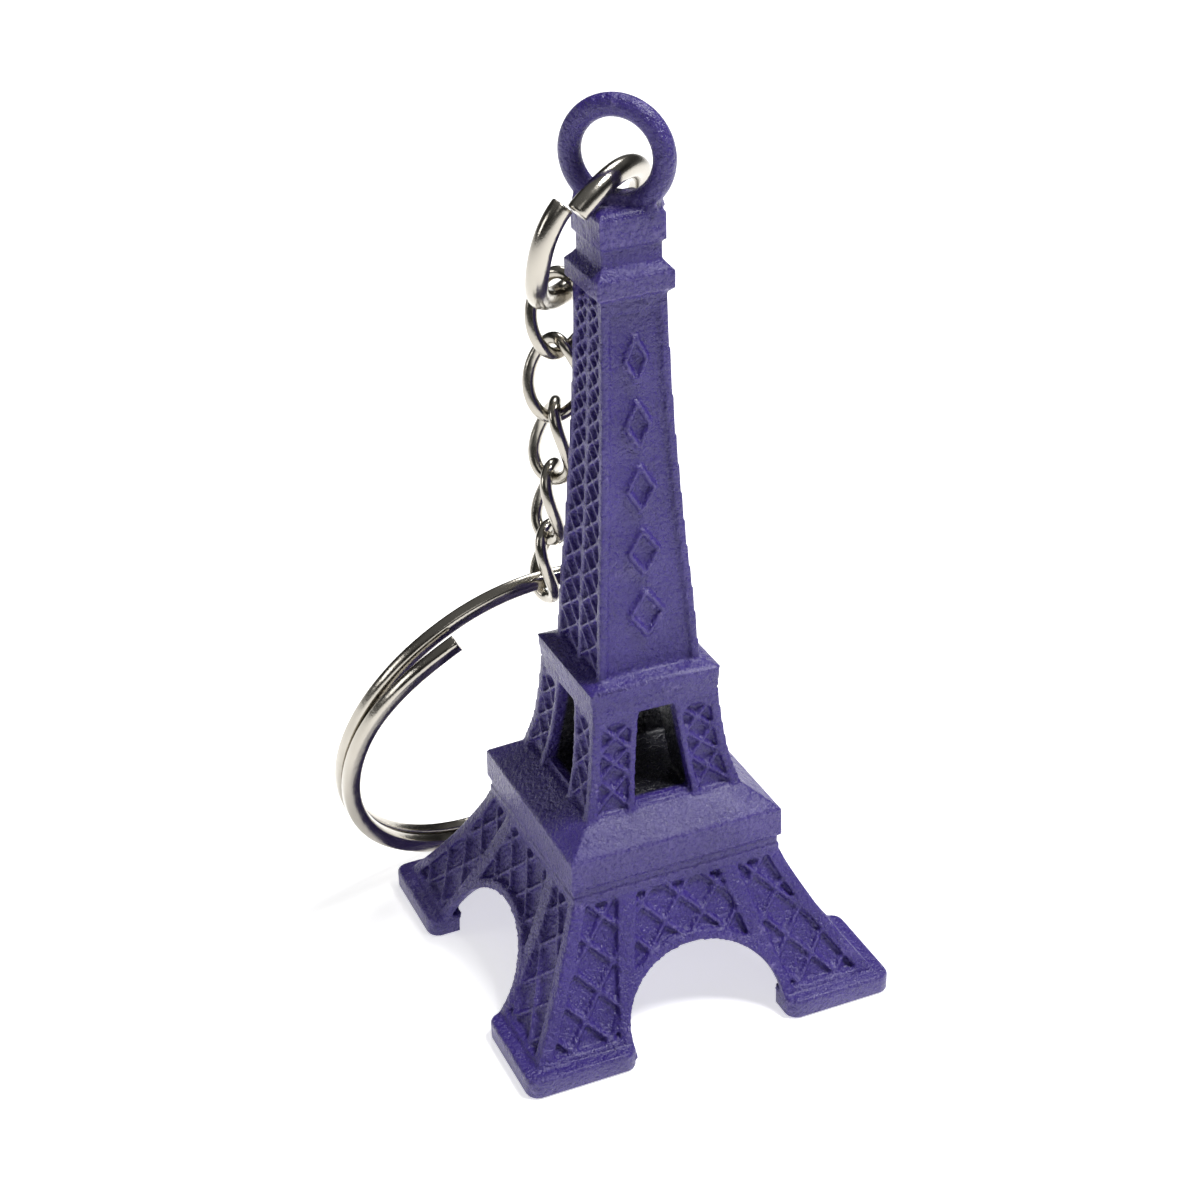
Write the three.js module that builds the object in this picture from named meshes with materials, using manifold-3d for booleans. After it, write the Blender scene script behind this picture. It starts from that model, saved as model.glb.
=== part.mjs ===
// Lattice-tower keychain: a die-cast tower charm with a cast ring loop, an open jump ring,
// five twisted chain links and a two-turn split ring. Millimetres, +Z up, the tower standing on its feet.
import * as THREE from 'three';
import { mergeVertices } from 'three/addons/utils/BufferGeometryUtils.js';
import Module from 'manifold-3d';

const wasm = await Module();
wasm.setup();

// ---- Driving dimensions -------------------------------------------------------------------------

const DEG = Math.PI / 180;
const SQUARE = 4; // a lathe of four sides turns a square section
const GAP = 0.12; // air between two wires that hang in each other
const BELOW = -1; // cuts start under the soles

// Square levels of the casting, as half width and height, from the legs to the top block.
const LEG_FOOT = { half: 10.4, z: 1.0 };
const LEG_SHIN = { half: 9.15, z: 2.8 };
const LEG_WAIST = { half: 7.95, z: 4.7 };
const LEG_KNEE = { half: 6.95, z: 6.6 };
const FRIEZE = { half: 6.25, low: 8.0, high: 9.2 };
const SLAB_1 = { half: 6.35, low: 9.25, high: 10.95 };
const STAGE_LOW = { half: 4.65, z: 12.15 };
const STAGE_MIDDLE = { half: 4.0, z: 15.0 };
const STAGE_HIGH = { half: 3.68, z: 18.15 };
const SLAB_2 = { half: 3.8, low: 18.25, high: 19.45 };
const SHAFT_LOW = { half: 2.95, z: 19.7 };
const SHAFT_MIDDLE = { half: 2.27, z: 30.0 };
const SHAFT_HIGH = { half: 1.8, z: 40.6 };
const CORNICE = { half: 2.15, low: 40.9, high: 41.8 };
const BLOCK = { half: 1.8, low: 42.4, high: 45.1, chamfer: 0.25 };

const FOOT = { outer: 11, inner: 4.6, high: 1.2, corner: 0.7 };
const HOLLOW = { wall: 1.3, edgeWall: 0.6, edgeRim: 0.7, sole: 9.3 }; // the legs are open underneath
const ARCH = { half: 4.6, spring: 1.2, top: 4.85 };
const WINDOW = { low: 12.5, high: 17.7, halfLow: 1.7, halfHigh: 1.05 };
const EYE = { radius: 2.5, band: 0.6, z: 47.45, neckHalf: 2.3, neckLow: 44.9, neckHigh: 45.55 };

const JUMP = {
  centre: new THREE.Vector3(-0.8, 1.8, 42.95),
  azimuth: 124, // heading of the ring's axis, degrees from +X
  tilt: 27.3, // rise of the ring's axis
  radius: 4.05,
  wire: 0.6,
  cut: 39.5, // where the ends meet, degrees from the ring's left side
  cutGap: 1.5,
  hook: -90, // where the chain hangs
  frontLane: -0.15, // the two ends' sideways offsets
  backLane: 0.65,
  spreadArc: 70, // stretch over which each end comes back into line
};

const LINK = { wire: 0.34, half: 1.5, twist: 70 };
const LINK_TURNS = [124, 106, 62, 44, 38]; // heading of each link's top wire, degrees in the chain's frame

const SPLIT = {
  x: -3.15,
  y: 9.0,
  azimuth: 98,
  tilt: 21,
  outer: 11.75,
  radial: 1.04,
  axial: 0.8,
  lane: 0.44, // each turn's offset from the middle plane
  start: 58, // the front turn's cut end, degrees from the ring's left side
  turn: 600, // wire length, as degrees round the ring
  frontArc: 252, // stretch that stays in the front lane
  crossArc: 105, // stretch that crosses to the back lane
  lift: 0.4, // the front end is sprung away from the turn behind it
  liftArc: 45,
  floorGap: 0.02,
};

// ---- Solids ------------------------------------------------------------------------------------

function toManifold(geometry) {
  const bare = geometry.clone();
  bare.deleteAttribute('normal');
  bare.deleteAttribute('uv');
  const merged = mergeVertices(bare, 1e-4);
  const vertProperties = new Float32Array(merged.attributes.position.array);
  const triVerts = new Uint32Array(merged.index.array);
  return new wasm.Manifold(new wasm.Mesh({ numProp: 3, vertProperties, triVerts }));
}

function toGeometry(solid) {
  const mesh = solid.getMesh();
  const geometry = new THREE.BufferGeometry();
  geometry.setAttribute('position', new THREE.BufferAttribute(mesh.vertProperties, 3));
  geometry.setIndex(new THREE.BufferAttribute(mesh.triVerts, 1));
  geometry.computeVertexNormals();
  return geometry;
}

// A stack of square sections, each {half, z}, closed at both ends.
function squareStack(levels) {
  const first = levels[0];
  const last = levels[levels.length - 1];
  const profile = levels.map((level) => new THREE.Vector2(level.half * Math.SQRT2, level.z));
  profile.unshift(new THREE.Vector2(0, first.z));
  profile.push(new THREE.Vector2(0, last.z));
  const geometry = new THREE.LatheGeometry(profile, SQUARE);
  geometry.rotateX(Math.PI / 2);
  geometry.rotateZ(Math.PI / 4);
  return geometry;
}

// An outline in the XZ plane, pushed through from -Y to +Y.
function throughCut(outline, depth) {
  const geometry = new THREE.ExtrudeGeometry(outline, { depth, bevelEnabled: false, curveSegments: 12 });
  geometry.translate(0, 0, -depth / 2);
  geometry.rotateX(Math.PI / 2);
  return geometry;
}

function footPad(signX, signY) {
  const side = FOOT.outer - FOOT.inner;
  const r = FOOT.corner;
  const h = side / 2;
  const outline = new THREE.Shape();
  outline.absarc(h - r, h - r, r, 0, Math.PI / 2);
  outline.absarc(r - h, h - r, r, Math.PI / 2, Math.PI);
  outline.absarc(r - h, r - h, r, Math.PI, 1.5 * Math.PI);
  outline.absarc(h - r, r - h, r, 1.5 * Math.PI, 2 * Math.PI);
  outline.closePath();
  const pad = new THREE.ExtrudeGeometry(outline, { depth: FOOT.high, bevelEnabled: false, curveSegments: 4 });
  pad.translate(signX * (FOOT.inner + h), signY * (FOOT.inner + h), 0);
  return pad;
}

function archOutline(grown) {
  const half = ARCH.half + grown;
  const outline = new THREE.Shape();
  outline.moveTo(half, BELOW);
  outline.lineTo(half, ARCH.spring);
  outline.absellipse(0, ARCH.spring, half, ARCH.top + grown - ARCH.spring, 0, Math.PI);
  outline.lineTo(-half, BELOW);
  outline.closePath();
  return outline;
}

// The inside of the legs, a wall's thickness within their outline and open at the soles.
function legInside(wall) {
  return toManifold(
    squareStack([
      { half: HOLLOW.sole, z: BELOW },
      { half: LEG_FOOT.half - wall, z: LEG_FOOT.z },
      { half: LEG_SHIN.half - wall, z: LEG_SHIN.z },
      { half: LEG_WAIST.half - wall, z: LEG_WAIST.z },
      { half: LEG_KNEE.half - wall, z: LEG_KNEE.z },
    ]),
  );
}

function windowOutline() {
  const outline = new THREE.Shape();
  outline.moveTo(-WINDOW.halfLow, WINDOW.low);
  outline.lineTo(WINDOW.halfLow, WINDOW.low);
  outline.lineTo(WINDOW.halfHigh, WINDOW.high);
  outline.lineTo(-WINDOW.halfHigh, WINDOW.high);
  outline.closePath();
  return outline;
}

function makeTower() {
  const levels = [
    LEG_FOOT,
    LEG_SHIN,
    LEG_WAIST,
    LEG_KNEE,
    { half: FRIEZE.half, z: FRIEZE.low },
    { half: FRIEZE.half, z: FRIEZE.high },
    { half: SLAB_1.half, z: SLAB_1.low },
    { half: SLAB_1.half, z: SLAB_1.high },
    STAGE_LOW,
    STAGE_MIDDLE,
    STAGE_HIGH,
    { half: SLAB_2.half, z: SLAB_2.low },
    { half: SLAB_2.half, z: SLAB_2.high },
    SHAFT_LOW,
    SHAFT_MIDDLE,
    SHAFT_HIGH,
    { half: CORNICE.half, z: CORNICE.low },
    { half: CORNICE.half, z: CORNICE.high },
    { half: BLOCK.half, z: BLOCK.low },
    { half: BLOCK.half, z: BLOCK.high - BLOCK.chamfer },
    { half: BLOCK.half - BLOCK.chamfer, z: BLOCK.high },
  ];
  let solid = toManifold(squareStack(levels));
  for (const signX of [-1, 1]) {
    for (const signY of [-1, 1]) {
      solid = solid.add(toManifold(footPad(signX, signY)));
    }
  }
  // Full walls, thinner round the arches.
  solid = solid.subtract(legInside(HOLLOW.wall));
  const edgeInside = legInside(HOLLOW.edgeWall);
  for (const quarter of [0, Math.PI / 2]) {
    const grown = throughCut(archOutline(HOLLOW.edgeRim), 3 * FOOT.outer);
    grown.rotateZ(quarter);
    solid = solid.subtract(toManifold(grown).intersect(edgeInside));
  }
  for (const outline of [archOutline(0), windowOutline()]) {
    const cut = throughCut(outline, 3 * FOOT.outer);
    solid = solid.subtract(toManifold(cut));
    cut.rotateZ(Math.PI / 2);
    solid = solid.subtract(toManifold(cut));
  }
  // The cast eye stands in the plane through the left and right corners.
  const eye = new THREE.TorusGeometry(EYE.radius, EYE.band, 12, 40);
  eye.rotateX(Math.PI / 2);
  eye.translate(0, 0, EYE.z);
  const neckHigh = EYE.neckHigh - EYE.neckLow;
  const neck = new THREE.BoxGeometry(2 * EYE.neckHalf, 2 * EYE.band, neckHigh);
  neck.translate(0, 0, EYE.neckLow + neckHigh / 2);
  for (const piece of [eye, neck]) {
    piece.rotateZ(-Math.PI / 4);
    solid = solid.add(toManifold(piece));
  }
  return toGeometry(solid);
}

// A ring's frame: X to its left, Y up its plane, Z along its axis.
function ringBasis(azimuth, tilt) {
  const flat = Math.cos(tilt * DEG);
  const axis = new THREE.Vector3(flat * Math.cos(azimuth * DEG), flat * Math.sin(azimuth * DEG), Math.sin(tilt * DEG));
  const left = new THREE.Vector3(0, 0, 1).cross(axis).normalize();
  const up = axis.clone().cross(left);
  return new THREE.Matrix4().makeBasis(left, up, axis);
}

// A wire on a round ring: the angle and the sideways lane are functions of the way along it.
class RingCurve extends THREE.Curve {
  constructor(radius, angleAt, laneAt) {
    super();
    this.radius = radius;
    this.angleAt = angleAt;
    this.laneAt = laneAt;
    this.arcLengthDivisions = 400;
  }

  getPoint(t, target = new THREE.Vector3()) {
    const angle = this.angleAt(t);
    return target.set(this.radius * Math.cos(angle), this.radius * Math.sin(angle), this.laneAt(t));
  }

  // Sections stay square to the ring: normals point outward, whatever the lane does.
  computeFrenetFrames(segments) {
    const frames = { tangents: [], normals: [], binormals: [] };
    for (let i = 0; i <= segments; i++) {
      const tangent = this.getTangentAt(i / segments);
      const point = this.getPointAt(i / segments);
      const normal = new THREE.Vector3(point.x, point.y, 0).normalize();
      normal.addScaledVector(tangent, -normal.dot(tangent)).normalize();
      frames.tangents.push(tangent);
      frames.normals.push(normal);
      frames.binormals.push(tangent.clone().cross(normal));
    }
    return frames;
  }
}

function roundSection(radius, sides) {
  const points = [];
  for (let i = 0; i < sides; i++) {
    const angle = (2 * Math.PI * i) / sides;
    points.push(new THREE.Vector2(radius * Math.cos(angle), radius * Math.sin(angle)));
  }
  return new THREE.Shape(points);
}

// A flat wire with eased corners.
function flatSection(wide, high) {
  const ease = 0.25 * high;
  const x = wide / 2;
  const y = high / 2;
  const points = [];
  for (const [sx, sy] of [[1, -1], [1, 1], [-1, 1], [-1, -1]]) {
    const along = new THREE.Vector2(sx * x, sy * (y - ease));
    const across = new THREE.Vector2(sx * (x - ease), sy * y);
    points.push(...(sx === sy ? [along, across] : [across, along]));
  }
  return new THREE.Shape(points);
}

function makeJumpRing() {
  const sweep = 360 - 2 * JUMP.cutGap;
  const angleAt = (t) => (JUMP.cut + JUMP.cutGap + sweep * t) * DEG;
  const laneAt = (t) => {
    const fromStart = 1 - THREE.MathUtils.smoothstep(sweep * t, 0, JUMP.spreadArc);
    const fromEnd = 1 - THREE.MathUtils.smoothstep(sweep * (1 - t), 0, JUMP.spreadArc);
    return JUMP.backLane * fromEnd + JUMP.frontLane * fromStart;
  };
  const path = new RingCurve(JUMP.radius, angleAt, laneAt);
  return new THREE.ExtrudeGeometry(roundSection(JUMP.wire, 10), { steps: 56, extrudePath: path, bevelEnabled: false });
}

function splitLane(travelled) {
  const crossed = THREE.MathUtils.smoothstep(travelled, SPLIT.frontArc, SPLIT.frontArc + SPLIT.crossArc);
  const sprung = 1 - THREE.MathUtils.smoothstep(travelled, 0, SPLIT.liftArc);
  return SPLIT.lane * (2 * crossed - 1) - SPLIT.lift * sprung;
}

function makeSplitRing() {
  const angleAt = (t) => (SPLIT.start - SPLIT.turn * t) * DEG;
  const laneAt = (t) => splitLane(SPLIT.turn * t);
  const path = new RingCurve(SPLIT.outer - SPLIT.radial / 2, angleAt, laneAt);
  const section = flatSection(SPLIT.radial, SPLIT.axial);
  return new THREE.ExtrudeGeometry(section, { steps: 100, extrudePath: path, bevelEnabled: false });
}

// A closed wire link in its own frame: the top wire's centre at the origin, hanging down -Z.
// Its plane turns by the twist from top to bottom, as in a curb chain.
function makeLink(halfLong) {
  const around = 40;
  const sides = 10;
  const centreAt = (angle) => {
    const turn = LINK.twist * DEG * 0.5 * (1 - Math.sin(angle));
    const out = LINK.half * Math.cos(angle);
    return new THREE.Vector3(out * Math.cos(turn), out * Math.sin(turn), halfLong * (Math.sin(angle) - 1));
  };
  const geometry = new THREE.TorusGeometry(2, 1, sides, around);
  const position = geometry.attributes.position;
  const middle = new THREE.Vector3(0, 0, -halfLong);
  for (let i = 0; i < position.count; i++) {
    const x = position.getX(i);
    const y = position.getY(i);
    const angle = Math.atan2(y, x);
    const outward = Math.hypot(x, y) - 2;
    const sideways = position.getZ(i);
    const centre = centreAt(angle);
    const tangent = centreAt(angle + 0.01).sub(centreAt(angle - 0.01)).normalize();
    const normal = centre.clone().sub(middle);
    normal.addScaledVector(tangent, -normal.dot(tangent)).normalize();
    const binormal = normal.clone().cross(tangent);
    centre.addScaledVector(normal, LINK.wire * outward).addScaledVector(binormal, LINK.wire * sideways);
    position.setXYZ(i, centre.x, centre.y, centre.z);
  }
  geometry.computeVertexNormals();
  return geometry;
}

// ---- Materials and assembly ----------------------------------------------------------------------

const paint = () => new THREE.MeshStandardMaterial({ color: 0x453c80, roughness: 0.5, metalness: 0.25 });
const nickel = () => new THREE.MeshStandardMaterial({ color: 0xb9b3a6, roughness: 0.25, metalness: 1.0 });

const group = new THREE.Group();

function addPiece(name, geometry, material) {
  const mesh = new THREE.Mesh(geometry, material);
  mesh.name = name;
  group.add(mesh);
  return mesh;
}

// Each moving piece carries its hinge: a point and a direction in the group's frame.
function addMoving(name, geometry, placement, pivot, axis) {
  const mesh = addPiece(name, geometry, nickel());
  mesh.applyMatrix4(placement);
  mesh.userData.hinge = { pivot, axis };
  return mesh;
}

addPiece('tower', makeTower(), paint());

// The jump ring turns about the eye's own axis, so it slides round the eye's band.
const jumpPlace = ringBasis(JUMP.azimuth, JUMP.tilt).setPosition(JUMP.centre);
const eyeAxis = new THREE.Vector3(1, 1, 0).normalize();
addMoving('jump_ring', makeJumpRing(), jumpPlace, new THREE.Vector3(0, 0, EYE.z), eyeAxis);

// The split ring stands on the floor and leans towards the tower.
const splitPlace = ringBasis(SPLIT.azimuth, SPLIT.tilt);
const splitStack = SPLIT.lane + SPLIT.axial / 2;
const splitHigh =
  SPLIT.outer * Math.cos(SPLIT.tilt * DEG) + splitStack * Math.sin(SPLIT.tilt * DEG) + SPLIT.floorGap;
splitPlace.setPosition(SPLIT.x, SPLIT.y, splitHigh);

// The chain is straight from the jump ring's wire to the top of the split ring's wire.
const hookAngle = JUMP.hook * DEG;
const chainTop = new THREE.Vector3(Math.cos(hookAngle), Math.sin(hookAngle), 0).multiplyScalar(JUMP.radius);
const jumpTangent = new THREE.Vector3(Math.sin(hookAngle), -Math.cos(hookAngle), 0);
chainTop.applyMatrix4(jumpPlace);
jumpTangent.transformDirection(jumpPlace);
const topLane = splitLane(SPLIT.start + 270);
const chainEnd = new THREE.Vector3(0, SPLIT.outer - SPLIT.radial / 2, topLane).applyMatrix4(splitPlace);
const down = chainEnd.clone().sub(chainTop);
const span = down.length();
down.normalize();

const wireStep = 2 * LINK.wire + GAP;
const topStep = JUMP.wire + LINK.wire + 2 * GAP;
const endStep = SPLIT.radial / 2 + LINK.wire + 2 * GAP;
const halfLong = (span + topStep + (LINK_TURNS.length - 1) * wireStep + endStep) / (2 * LINK_TURNS.length);

const upward = down.clone().negate();
const across = new THREE.Vector3(0, 1, 0).cross(upward).normalize();
const along = upward.clone().cross(across);
const chainFrame = new THREE.Matrix4().makeBasis(across, along, upward);
let hangFrom = chainTop.clone();
let hangAxis = jumpTangent;
let step = topStep;
for (const [i, turn] of LINK_TURNS.entries()) {
  const top = hangFrom.clone().addScaledVector(down, -step);
  const place = chainFrame.clone().multiply(new THREE.Matrix4().makeRotationZ(turn * DEG)).setPosition(top);
  addMoving(`chain_link_${i + 1}`, makeLink(halfLong), place, hangFrom.clone(), hangAxis);
  hangFrom = top.addScaledVector(down, 2 * halfLong);
  const low = (turn + LINK.twist - 180) * DEG;
  hangAxis = new THREE.Vector3(Math.cos(low), Math.sin(low), 0).transformDirection(chainFrame);
  step = wireStep;
}
addMoving('split_ring', makeSplitRing(), splitPlace, hangFrom.clone(), hangAxis);

// The origin is the middle of the base of the whole assembly's box.
const box = new THREE.Box3().setFromObject(group, true);
group.position.set(-(box.min.x + box.max.x) / 2, -(box.min.y + box.max.y) / 2, -box.min.z);

export default group;
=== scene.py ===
"""Looks for the lattice-tower keychain.

A soft-edged violet casting with lattice relief, and nickel-plated wire.
"""
import math

import bmesh
import bpy
from mathutils import Matrix, Vector


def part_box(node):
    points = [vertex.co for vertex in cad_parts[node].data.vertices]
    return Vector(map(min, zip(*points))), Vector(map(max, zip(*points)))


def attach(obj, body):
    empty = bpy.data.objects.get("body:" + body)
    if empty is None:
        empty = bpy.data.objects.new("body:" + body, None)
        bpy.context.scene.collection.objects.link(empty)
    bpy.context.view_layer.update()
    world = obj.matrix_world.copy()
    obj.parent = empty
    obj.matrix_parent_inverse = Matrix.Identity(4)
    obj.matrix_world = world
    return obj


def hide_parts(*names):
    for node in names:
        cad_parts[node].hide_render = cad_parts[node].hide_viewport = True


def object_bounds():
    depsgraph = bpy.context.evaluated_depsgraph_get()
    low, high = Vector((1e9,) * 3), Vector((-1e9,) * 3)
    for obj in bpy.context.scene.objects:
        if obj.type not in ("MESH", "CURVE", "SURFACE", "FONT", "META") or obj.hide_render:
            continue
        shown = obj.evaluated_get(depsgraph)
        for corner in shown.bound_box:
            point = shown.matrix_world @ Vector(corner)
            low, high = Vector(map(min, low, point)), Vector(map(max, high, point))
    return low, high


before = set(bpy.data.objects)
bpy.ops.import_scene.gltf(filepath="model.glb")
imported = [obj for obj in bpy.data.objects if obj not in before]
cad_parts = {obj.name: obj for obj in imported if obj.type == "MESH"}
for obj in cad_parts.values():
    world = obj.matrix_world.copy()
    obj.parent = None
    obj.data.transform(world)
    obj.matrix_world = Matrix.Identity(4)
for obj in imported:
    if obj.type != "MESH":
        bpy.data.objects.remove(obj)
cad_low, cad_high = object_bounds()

MM = 0.001

# ---- The tower's sizes, in millimetres from the middle of its base ---------------------------------

tower_low, tower_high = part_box("tower")
TOWER_AT = Vector(((tower_low.x + tower_high.x) / 2, (tower_low.y + tower_high.y) / 2, tower_low.z))

# Outer half width against height, for each stage of the casting.
LEG = ((1.0, 10.4), (2.8, 9.15), (4.7, 7.95), (6.6, 6.95), (8.0, 6.3))
STAGE = ((12.15, 4.65), (14.0, 4.15), (15.8, 3.9), (18.2, 3.68))
SHAFT = ((19.6, 2.98), (23.5, 2.74), (27.0, 2.46), (30.0, 2.27), (33.5, 2.06), (37.0, 1.92), (40.7, 1.8))

# Where the core runs on past a stage's outline, hidden in the bands: (height, half width).
LEG_CORE_LOW, LEG_CORE_END = 0.9, (9.0, 6.0)
STAGE_CORE_START, STAGE_CORE_END = (11.9, 4.4), (18.9, 3.4)
SHAFT_CORE_START, SHAFT_CORE_END = (19.3, 2.7), (41.2, 1.6)

# The plain bands round the tower, each a stack of (height, half width). A frieze is three or two of them.
FRIEZE_1 = (((7.95, 6.24), (8.62, 6.24)), ((8.5, 6.06), (8.9, 6.06)), ((8.78, 6.2), (9.3, 6.2)))
SLAB_1 = ((9.2, 6.36), (10.95, 6.3), (12.2, 4.62), (12.3, 4.3))
FRIEZE_2 = (((18.15, 3.7), (18.62, 3.7)), ((18.5, 3.58), (18.9, 3.58)))
SLAB_2 = ((18.75, 3.78), (19.4, 3.8), (19.72, 2.9))
CORNICE = ((40.55, 1.75), (40.9, 2.12), (41.8, 2.14), (42.3, 1.7))
TOP_BLOCK = ((42.1, 1.66), (43.3, 1.66), (43.4, 1.8), (44.85, 1.8), (45.1, 1.55))

FOOT_OUTER, FOOT_INNER, FOOT_HIGH, FOOT_CORNER = 11.0, 4.6, 1.2, 0.7
FOOT_SOLE_EDGE, FOOT_TOP_EDGE = (0.08, 0.06), (0.12, 0.1)  # height and inset of the softened edges
WALL, EDGE_WALL, EDGE_RIM, SOLE = 1.3, 0.6, 0.7, 9.3
ARCH_HALF, ARCH_SPRING, ARCH_TOP = 4.6, 1.2, 4.85
WINDOW_LOW, WINDOW_HIGH, WINDOW_HALF_LOW, WINDOW_HALF_HIGH = 12.5, 17.7, 1.7, 1.05
EYE_RADIUS, EYE_BAND, EYE_Z, EYE_TURN = 2.5, 0.6, 47.45, -45
NECK = ((44.9, 2.3, 0.6), (45.5, 2.15, 0.58), (45.6, 1.6, 0.4))  # (height, half width, half thickness)

# The relief: how deep the panels lie, how wide the corner posts are, and where they start and end.
LEG_RECESS, STAGE_RECESS, SHAFT_RECESS = 0.42, 0.34, 0.34
LEG_POST, STAGE_POST, SHAFT_POST = 0.8, 0.55, 0.46
LEG_POST_SPAN, STAGE_POST_SPAN, SHAFT_POST_SPAN = (0.9, 8.1), (12.1, 18.3), (19.6, 40.7)

# Plates and bars. A SPAN is the heights from and to. A DEPTH is how far a plate or bar goes in under its
# stage's outline, to fuse with the core, and how far it stands out over the outline.
LEG_TOP = LEG[-1][0]
STRIP_RISE = LEG_TOP - FOOT_HIGH
STRIP_OUTER, STRIP_OUTER_LEAN = 5.3, 1.7  # half width at the foot, and how much of it is lost by the top
STRIP_INNER, STRIP_INNER_LEAN = 4.35, 1.85
STRIP_SPAN, STRIP_DEPTH = (1.1, LEG_TOP), (0.6, 0)
SILL_SPAN, SILL_DEPTH = (1.0, 1.45), (0.4, 0)
RIM_WIDTH, RIM_RAISED, RIM_STEP = 0.5, 0.03, 0.08
RIM_PAST = 0.06  # how far the rim goes on past a half turn at each foot, as a share of a half turn
LEG_SPAN, LEG_PITCH, LEG_BAR, LEG_DEPTH = (1.3, 8.05), 2.3, 0.3, (0.5, -0.14)
SPANDREL_GAP = 0.2  # between the arch's crown and the lattice over it
OVERLAP = 0.1  # a lattice reaches this far under the strips and posts beside it
ARCH_CLEAR, WINDOW_CLEAR = 0.02, 0.01  # plates end this far short of an opening

WINDOW_STRIP, WINDOW_SPAN, WINDOW_DEPTH = 0.38, (12.3, 17.9), (0.5, 0)
STAGE_SPAN, STAGE_CELL, STAGE_BAR, STAGE_DEPTH = (12.5, 17.6), 0.9, 0.26, (0.4, -0.07)
LINTEL_AT, LINTEL_INSET, LINTEL_SPAN, LINTEL_DEPTH = 18, 0.1, (17.72, 18.3), (0.5, 0)

COLLAR_HALF, COLLAR_SPAN, COLLAR_DEPTH = 1.2, (39.9, 40.7), (0.4, 0)
PANEL_SPAN, PANEL_DEPTH = (19.8, 40.6), (0.4, -0.2)
LOZENGES, LOZENGE_FIRST, LOZENGE_PITCH = 5, 23.1, 3.55
LOZENGE_WIDE, LOZENGE_HALF_HIGH = 0.42, 1.25  # wide: its half width as a share of the panel's
LOZENGE_BAR, LOZENGE_DEPTH = 0.36, (0.3, 0.06)
RIB_HALF, RIB_SPAN, RIB_DEPTH = 0.2, (19.8, 40.6), (0.5, -0.04)
SHAFT_SPAN, SHAFT_CELL, SHAFT_BAR, SHAFT_DEPTH = (20.0, 40.4), 0.72, 0.24, (0.4, 0.0)

BAR_TOP = 0.6  # a bar's top is this share of its width
DIAMOND_SHIFT = 0.35  # moves the diamonds along the leg
CROSSED_LIFT = 0.8  # the second family of bars has this share of the first one's height
SMALLEST_CELL = 0.3
CLIP_STEPS = 60
POST_STEP, PLATE_STEP, BAR_STEP = 0.6, 0.35, 0.5  # the longest step along each

BELOW = -1  # cuts start under the soles
VOXEL = 0.1
MAX_TOWER_FACES = 190_000


def half_at(profile, z):
    """The outer half width of a stage at height z."""
    for (z0, h0), (z1, h1) in zip(profile, profile[1:]):
        if z <= z1:
            return h0 + (h1 - h0) * (z - z0) / (z1 - z0)
    return profile[-1][1]


def steps(start, end, longest):
    """Evenly spaced values from start to end, no further apart than longest."""
    count = max(1, math.ceil(abs(end - start) / longest))
    return [start + (end - start) * i / count for i in range(count + 1)]


# ---- Closed solids, gathered in one bmesh and fused by a voxel remesh -------------------------------


def add_loft(bm, rings):
    """A closed solid through a list of rings that all have the same number of points."""
    made = [[bm.verts.new(point) for point in ring] for ring in rings]
    count = len(rings[0])
    for low, high in zip(made, made[1:]):
        for i in range(count):
            j = (i + 1) % count
            bm.faces.new((low[i], low[j], high[j], high[i]))
    bm.faces.new(list(reversed(made[0])))
    bm.faces.new(made[-1])


def square(half, z):
    return [(-half, -half, z), (half, -half, z), (half, half, z), (-half, half, z)]


def add_stack(bm, levels):
    """Square sections, each (z, half)."""
    add_loft(bm, [square(half, z) for z, half in levels])


def add_posts(bm, profile, low, high, width):
    """A square post up each of the four corners, following the stage's outline."""
    for sx, sy in ((1, 1), (-1, 1), (-1, -1), (1, -1)):
        rings = []
        for z in steps(low, high, POST_STEP):
            outer = half_at(profile, z)
            inner = outer - width
            corners = [(inner, inner), (outer, inner), (outer, outer), (inner, outer)]
            ring = [(sx * x, sy * y, z) for x, y in corners]
            rings.append(ring if sx * sy > 0 else ring[::-1])
        add_loft(bm, rings)


def on_face(side, s, z, out):
    """The point s across and z up one of the four sides, out from the axis."""
    x, y = s, -out
    for _ in range(side):
        x, y = -y, x
    return (x, y, z)


def add_plate(bm, side, profile, left, right, low, high, sunk, raised):
    """A plate on one side between the edges left(z) and right(z), from sunk under its outline to raised."""
    rings = []
    for z in steps(low, high, PLATE_STEP):
        out = half_at(profile, z)
        a, b = left(z), right(z)
        ring = [(a, out + raised), (b, out + raised), (b, out - sunk), (a, out - sunk)]
        rings.append([on_face(side, s, z, o) for s, o in ring])
    add_loft(bm, rings)


def add_bar(bm, side, profile, start, end, width, sunk, raised):
    """A straight bar between two (s, z) points of one side, following its outline."""
    along = Vector(end) - Vector(start)
    across = Vector((-along.y, along.x)).normalized() * (width / 2)
    rings = []
    for t in steps(0, 1, BAR_STEP / along.length):
        middle = Vector(start) + along * t
        ring = []
        for sign, height in ((-1, -sunk), (1, -sunk), (BAR_TOP, raised), (-BAR_TOP, raised)):
            p = middle + across * sign
            ring.append(on_face(side, p.x, p.y, half_at(profile, p.y) + height))
        rings.append(ring)
    add_loft(bm, rings)


def clipped(inside, start, end):
    """The stretches of a line that lie inside an area."""
    points = [Vector(start).lerp(Vector(end), i / CLIP_STEPS) for i in range(CLIP_STEPS + 1)]
    run = []
    for p in points + [None]:
        if p is not None and inside(p.x, p.y):
            run.append(p)
        else:
            if len(run) > 2:
                yield run[0], run[-1]
            run = []


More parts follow.
